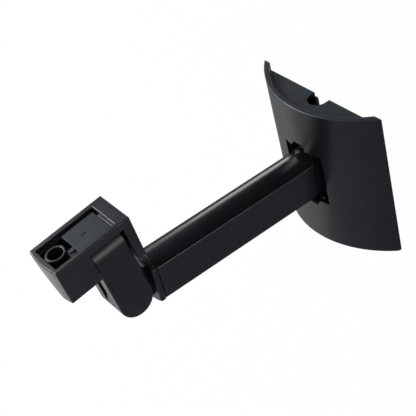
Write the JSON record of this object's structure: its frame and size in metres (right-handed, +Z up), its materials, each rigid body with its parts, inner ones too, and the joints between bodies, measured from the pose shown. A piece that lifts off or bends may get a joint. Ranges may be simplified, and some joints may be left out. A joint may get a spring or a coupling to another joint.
{
  "type": "speaker wall bracket",
  "caption": "Wall bracket for a small speaker: bowed cover over a wall plate, long rolling arm, tilting fork knuckle and a panning head with a screw boss.",
  "frame": {"origin": "on the wall plane, at the middle of the four wall screws and on the arm's roll axis", "axes": "+Y into the wall, so that the arm leaves along -Y; +Z up; +X to the right as seen from the room"},
  "size_m": [0.1074, 0.2027, 0.1083],
  "materials": {
    "cover_plastic": "fine-grained black moulding, satin",
    "plate_steel": "black dipped sheet",
    "arm_paint": "satin black powder coat",
    "cast_paint": "satin black powder coat on a casting",
    "head_plastic": "satin black moulding",
    "seat_plastic": "dark grey moulding, matt",
    "fastener_steel": "plated steel",
    "insert_brass": "turned brass",
    "washer_plastic": "black nylon"
  },
  "bodies": {
    "wall_base": {"base_cover": "cover_plastic", "wall_plate": "plate_steel", "roll_friction_disc": "washer_plastic"},
    "arm": {"arm_tube": "arm_paint", "arm_root": "cast_paint", "roll_bolt": "fastener_steel", "roll_flat_washer": "fastener_steel", "roll_spring_washer": "fastener_steel", "end_cap": "cast_paint", "arm_grub_screws": "fastener_steel"},
    "knuckle": {"knuckle": "cast_paint", "tilt_screw": "fastener_steel", "tilt_insert": "insert_brass", "tilt_washer_near": "washer_plastic", "tilt_washer_far": "washer_plastic"},
    "head": {"head_housing": "head_plastic", "seat_plate": "seat_plastic", "pan_screw": "fastener_steel", "pan_insert": "insert_brass", "pan_washer_block": "washer_plastic", "pan_washer_cheek": "washer_plastic"}
  },
  "joints": [
    {"name": "arm_roll", "type": "hinge", "parent": "wall_base", "child": "arm", "pos_m": [0, 0, 0], "axis": [0, 1, 0], "range_deg": [-75, 75]},
    {"name": "head_tilt", "type": "hinge", "parent": "arm", "child": "knuckle", "pos_m": [0, -0.1606, 0], "axis": [1, 0, 0], "range_deg": [-7.8, 172.2]},
    {"name": "head_pan", "type": "hinge", "parent": "knuckle", "child": "head", "pos_m": [0, -0.16589, 0.03864], "axis": [0, 0.9907, 0.1357], "range_deg": [-90, 90]}
  ]
}
